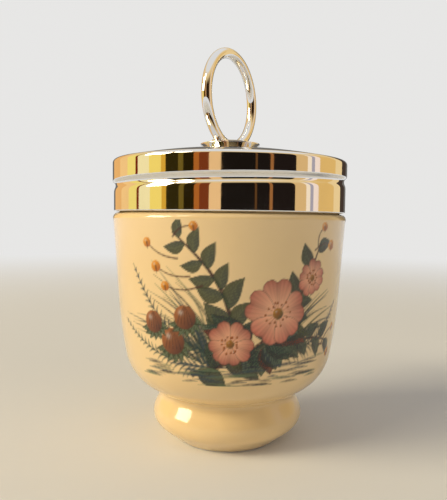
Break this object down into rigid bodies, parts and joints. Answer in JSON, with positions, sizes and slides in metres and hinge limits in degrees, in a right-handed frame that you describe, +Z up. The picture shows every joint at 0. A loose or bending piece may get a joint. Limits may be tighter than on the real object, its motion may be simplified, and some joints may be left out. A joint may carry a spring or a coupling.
{
  "type": "egg coddler",
  "caption": "Footed porcelain cup with a chrome-plated screw lid and an upright lifting ring, for cooking eggs in simmering water.",
  "frame": {"origin": "centre of the foot, on the surface that the cup stands on", "axes": "+Z up along the cup's axis, the decorated front faces -Y, +X to the right of the front"},
  "size_m": [0.0634, 0.0634, 0.1065],
  "materials": {
    "porcelain": "glossy ivory glaze with a printed botanical spray",
    "lid_chrome": "polished chrome plate on pressed sheet",
    "boss_chrome": "polished chrome plate",
    "ring_chrome": "polished chrome plate",
    "washer_steel": "plain steel"
  },
  "bodies": {
    "cup_body": {"cup": "porcelain"},
    "lid_carrier": {"spigot_washer": "washer_steel"},
    "lid_body": {"lid_shell": "lid_chrome", "ring_boss": "boss_chrome", "finger_ring": "ring_chrome"}
  },
  "joints": [
    {"name": "lid_rise", "type": "slide", "parent": "cup_body", "child": "lid_carrier", "axis": [0, 0, 1], "range_m": [0, 0.0029]},
    {"name": "lid_turn", "type": "hinge", "parent": "lid_carrier", "child": "lid_body", "pos_m": [0, 0, 0.0777], "axis": [0, 0, 1], "range_deg": [0, 290]}
  ],
  "couplings": [
    {"joint": "lid_rise", "follows": "lid_turn", "m_per_rad": 0.00057296}
  ]
}
